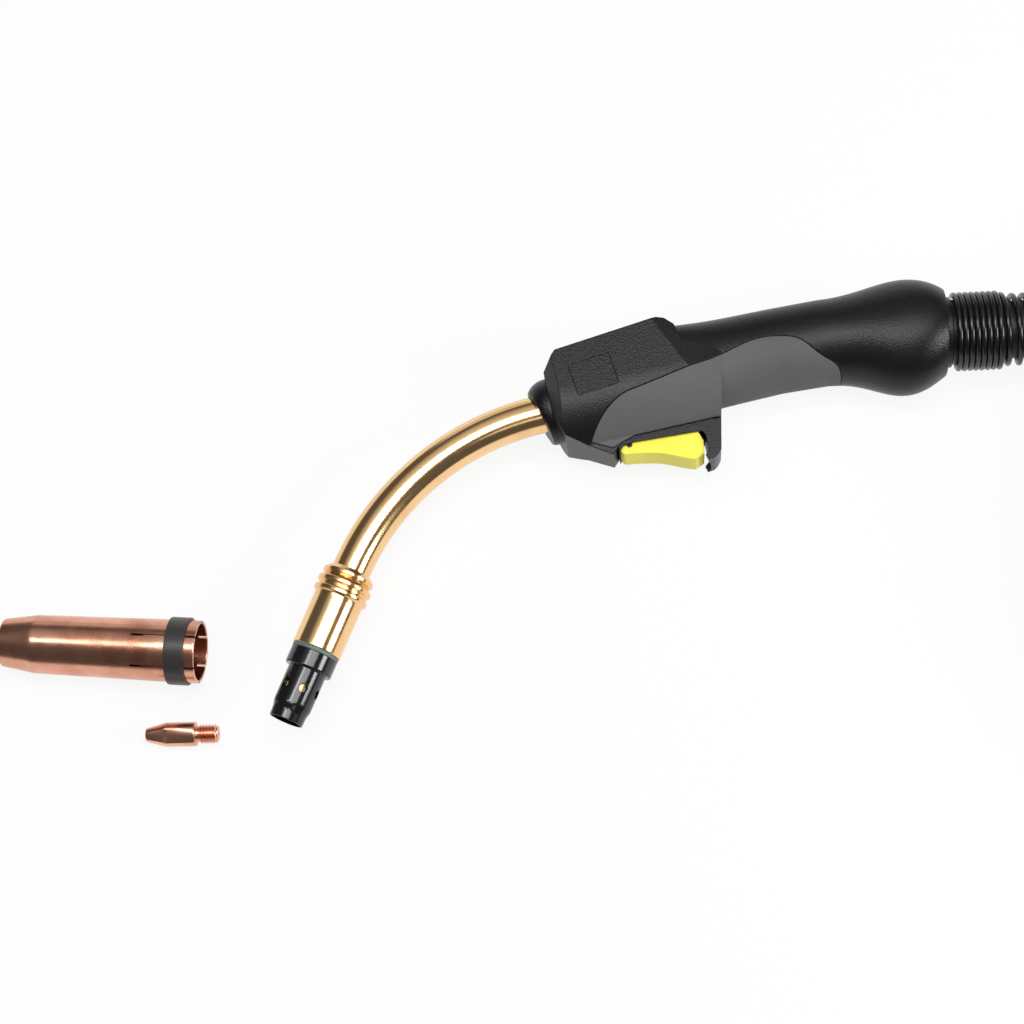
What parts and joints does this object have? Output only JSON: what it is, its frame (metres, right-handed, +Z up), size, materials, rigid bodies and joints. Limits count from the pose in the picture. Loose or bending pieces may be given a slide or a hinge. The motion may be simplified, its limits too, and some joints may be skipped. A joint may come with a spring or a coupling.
{
  "type": "mig welding torch",
  "caption": "Gas-cooled MIG welding torch: moulded handle with trigger, curved brass neck with gas diffuser, loose nozzle and contact tip, and a coiled cable with connector.",
  "frame": {"origin": "on the bench, under the middle of the box round the torch, its support spring and its loose nozzle and tip, without the cable", "axes": "+X from the neck towards the cable, along the handle; +Y from the trigger towards the handle's back; +Z up from the bench"},
  "size_m": [0.7552, 0.3307, 0.098],
  "materials": {
    "black_plastic": "fine-grained black moulded plastic",
    "grip_grey": "soft grey grip inlay",
    "trigger_yellow": "bright yellow moulded plastic",
    "brass": "polished brass",
    "brass_plain": "machined brass",
    "copper": "drawn copper",
    "blackened": "glossy black finish on brass",
    "band_black": "dark ring",
    "washer_green": "grey-green insulating washer",
    "steel": "plain steel",
    "spring_black": "black coated spring wire",
    "hose_black": "smooth black cable jacket",
    "insulation": "pale insulating plastic",
    "lead_red": "wire insulation",
    "oring_black": "seal"
  },
  "bodies": {
    "torch": {"handle_shell_left": "black_plastic", "handle_shell_right": "black_plastic", "grip_inlay_left": "grip_grey", "grip_inlay_right": "grip_grey", "handle_screw": "steel", "neck_collar": "black_plastic", "trigger_bezel": "black_plastic", "trigger_pin": "steel", "microswitch": "black_plastic", "switch_terminals": "brass_plain", "switch_leads": "lead_red", "neck_tube": "brass", "neck_insulator": "insulation", "neck_core": "copper", "wire_liner": "steel", "neck_socket": "brass_plain", "socket_screw": "steel", "core_cable": "hose_black", "crimp_ferrule": "copper", "neck_sleeve": "brass", "sleeve_washer": "washer_green", "gas_diffuser": "blackened", "tip_holder": "brass_plain"},
    "trigger": {"trigger": "trigger_yellow", "trigger_spring": "steel"},
    "plunger": {"switch_plunger": "black_plastic"},
    "cable": {"knuckle_ball": "black_plastic", "support_spring": "spring_black", "hose": "hose_black", "hose_coil": "hose_black", "hose_tail": "hose_black", "connector_boot": "oring_black", "connector_housing": "black_plastic", "connector_body": "brass_plain", "connector_pins": "brass_plain", "guide_tube": "steel", "connector_oring": "oring_black"},
    "connector_nut": {"connector_nut": "black_plastic"},
    "nozzle": {"gas_nozzle": "copper", "nozzle_band": "band_black"},
    "tip": {"contact_tip": "copper"}
  },
  "joints": [
    {"name": "trigger_pull", "type": "hinge", "parent": "torch", "child": "trigger", "pos_m": [0.0364, 0.0185, 0.021], "axis": [0, 0, 1], "range_deg": [0, 6], "stiffness_Nm_per_rad": 0.6, "springref_deg": -5.73},
    {"name": "plunger_travel", "type": "slide", "parent": "torch", "child": "plunger", "axis": [0, 1, 0], "range_m": [0, 0.00186]},
    {"name": "cable_swivel", "type": "hinge", "parent": "torch", "child": "cable", "pos_m": [0.1566, 0.0419, 0.021], "axis": [0, 0, 1], "range_deg": [-6, 6]},
    {"name": "nut_turn", "type": "hinge", "parent": "cable", "child": "connector_nut", "pos_m": [0.4934, -0.2077, 0.073], "axis": [0, -1, 0], "continuous": true},
    {"name": "nozzle_lift", "type": "slide", "parent": "torch", "child": "nozzle", "axis": [0, 0, 1], "range_m": [0, 0.1]},
    {"name": "tip_lift", "type": "slide", "parent": "torch", "child": "tip", "axis": [0, 0, 1], "range_m": [0, 0.1]}
  ],
  "couplings": [
    {"joint": "plunger_travel", "follows": "trigger_pull", "m_per_rad": 0.0177}
  ]
}
